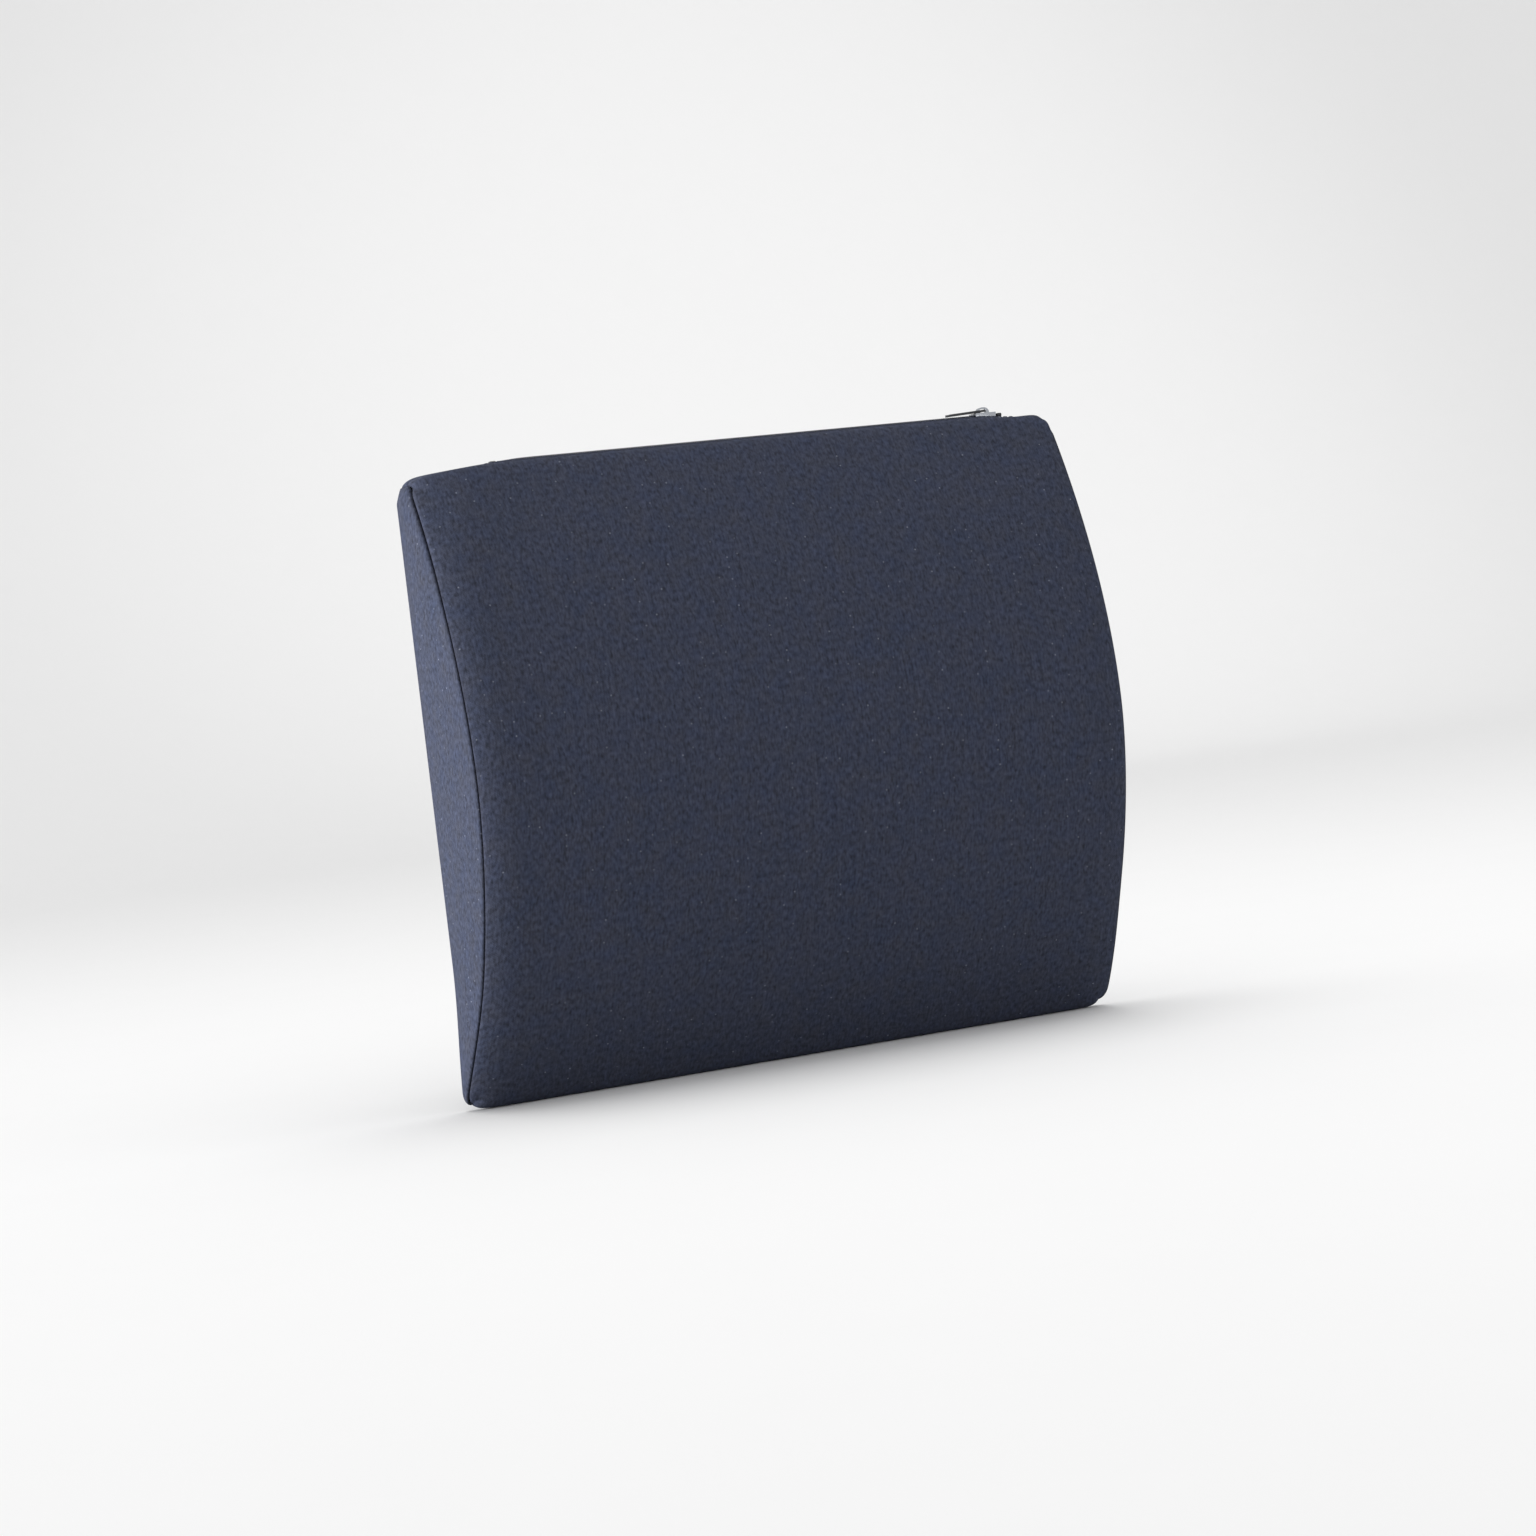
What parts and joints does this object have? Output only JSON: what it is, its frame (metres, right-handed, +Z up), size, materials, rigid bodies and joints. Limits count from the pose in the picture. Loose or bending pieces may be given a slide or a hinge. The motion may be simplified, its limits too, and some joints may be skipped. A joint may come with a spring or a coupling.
{
  "type": "lumbar support cushion",
  "caption": "D-section lumbar cushion: curved foam front, flat back, sewn fabric cover with a zip along its top edge.",
  "frame": {"origin": "centre of the flat back face, where the chair's backrest touches it", "axes": "+X along the width towards the end where the zip closes, +Y out of the back face towards the chair, +Z up; the curved front faces -Y"},
  "size_m": [0.368, 0.0756, 0.334],
  "materials": {
    "cover_fabric": "matte",
    "foam": "matte",
    "zip_tape": "matte",
    "zip_coil": "satin",
    "zip_metal": "polished"
  },
  "bodies": {
    "cushion": {"foam_core": "foam", "cover_front": "cover_fabric", "cover_back": "cover_fabric", "cover_side_left": "cover_fabric", "cover_side_right": "cover_fabric", "zip_tape_front": "zip_tape", "zip_tape_back": "zip_tape", "zip_coil_front": "zip_coil", "zip_coil_back": "zip_coil", "zip_top_stop_front": "zip_metal", "zip_top_stop_back": "zip_metal", "zip_bottom_stop": "zip_metal"},
    "slider": {"zip_slider": "zip_metal"},
    "pull": {"zip_pull": "zip_metal"}
  },
  "joints": [
    {"name": "zip_slide", "type": "slide", "parent": "cushion", "child": "slider", "axis": [1, 0, 0], "range_m": [-0.278, 0]},
    {"name": "pull_hinge", "type": "hinge", "parent": "slider", "child": "pull", "pos_m": [0.1531, -0.01, 0.1669], "axis": [0, 1, 0], "range_deg": [0, 180]}
  ]
}
